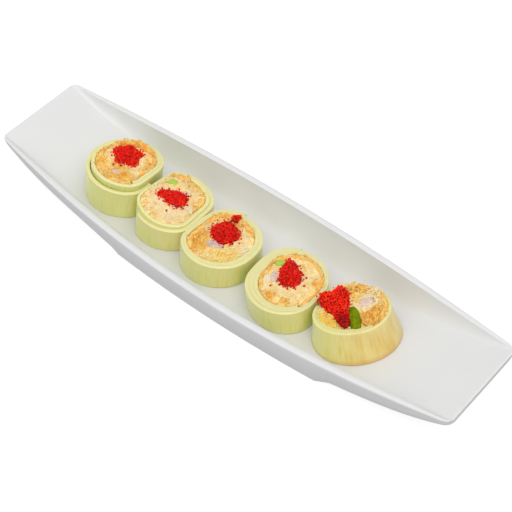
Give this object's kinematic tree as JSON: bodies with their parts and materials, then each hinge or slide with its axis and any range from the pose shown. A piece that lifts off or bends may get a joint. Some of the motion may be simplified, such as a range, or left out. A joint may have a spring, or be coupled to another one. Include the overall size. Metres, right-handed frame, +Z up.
{
  "type": "maki rolls on a boat-shaped dish",
  "caption": "Long boat-shaped white porcelain dish holding a close row of thick maki rolls wrapped in wound cucumber peel, filled with shredded crab, salmon and shrimp and topped with roe.",
  "frame": {"origin": "on the table, under the middle of the dish's bounding box", "axes": "+X along the dish towards the end with the leaning roll and the wider foot, +Y across it to the far side seen from the picture, +Z up"},
  "size_m": [0.3564, 0.0988, 0.0457],
  "materials": {
    "porcelain": "smooth white glaze",
    "cucumber": "moist, translucent pale yellow-green flesh with upright fibres",
    "salmon": "soft crumbly cooked salmon, slightly moist",
    "crab": "shredded crab in a creamy yellow dressing",
    "shrimp": "smooth, wet, pinkish grey flesh",
    "avocado": "soft yellow-green flesh with a faint wet sheen",
    "roe": "glossy wet red eggs"
  },
  "bodies": {
    "root": {"plate": "porcelain", "roll_1_cucumber": "cucumber", "roll_1_salmon": "salmon", "roll_1_crab": "crab", "roll_1_shrimp": "shrimp", "roll_1_roe": "roe", "roll_2_cucumber": "cucumber", "roll_2_salmon": "salmon", "roll_2_crab": "crab", "roll_2_shrimp": "shrimp", "roll_2_avocado": "avocado", "roll_2_roe": "roe", "roll_3_cucumber": "cucumber", "roll_3_salmon": "salmon", "roll_3_crab": "crab", "roll_3_shrimp": "shrimp", "roll_3_roe": "roe", "roll_3_roe_clump": "roe", "roll_4_cucumber": "cucumber", "roll_4_salmon": "salmon", "roll_4_crab": "crab", "roll_4_shrimp": "shrimp", "roll_4_avocado": "avocado", "roll_4_roe": "roe", "roll_5_cucumber": "cucumber", "roll_5_salmon": "salmon", "roll_5_crab": "crab", "roll_5_shrimp": "shrimp", "roll_5_avocado": "avocado", "roll_5_roe": "roe"}
  },
  "joints": []
}
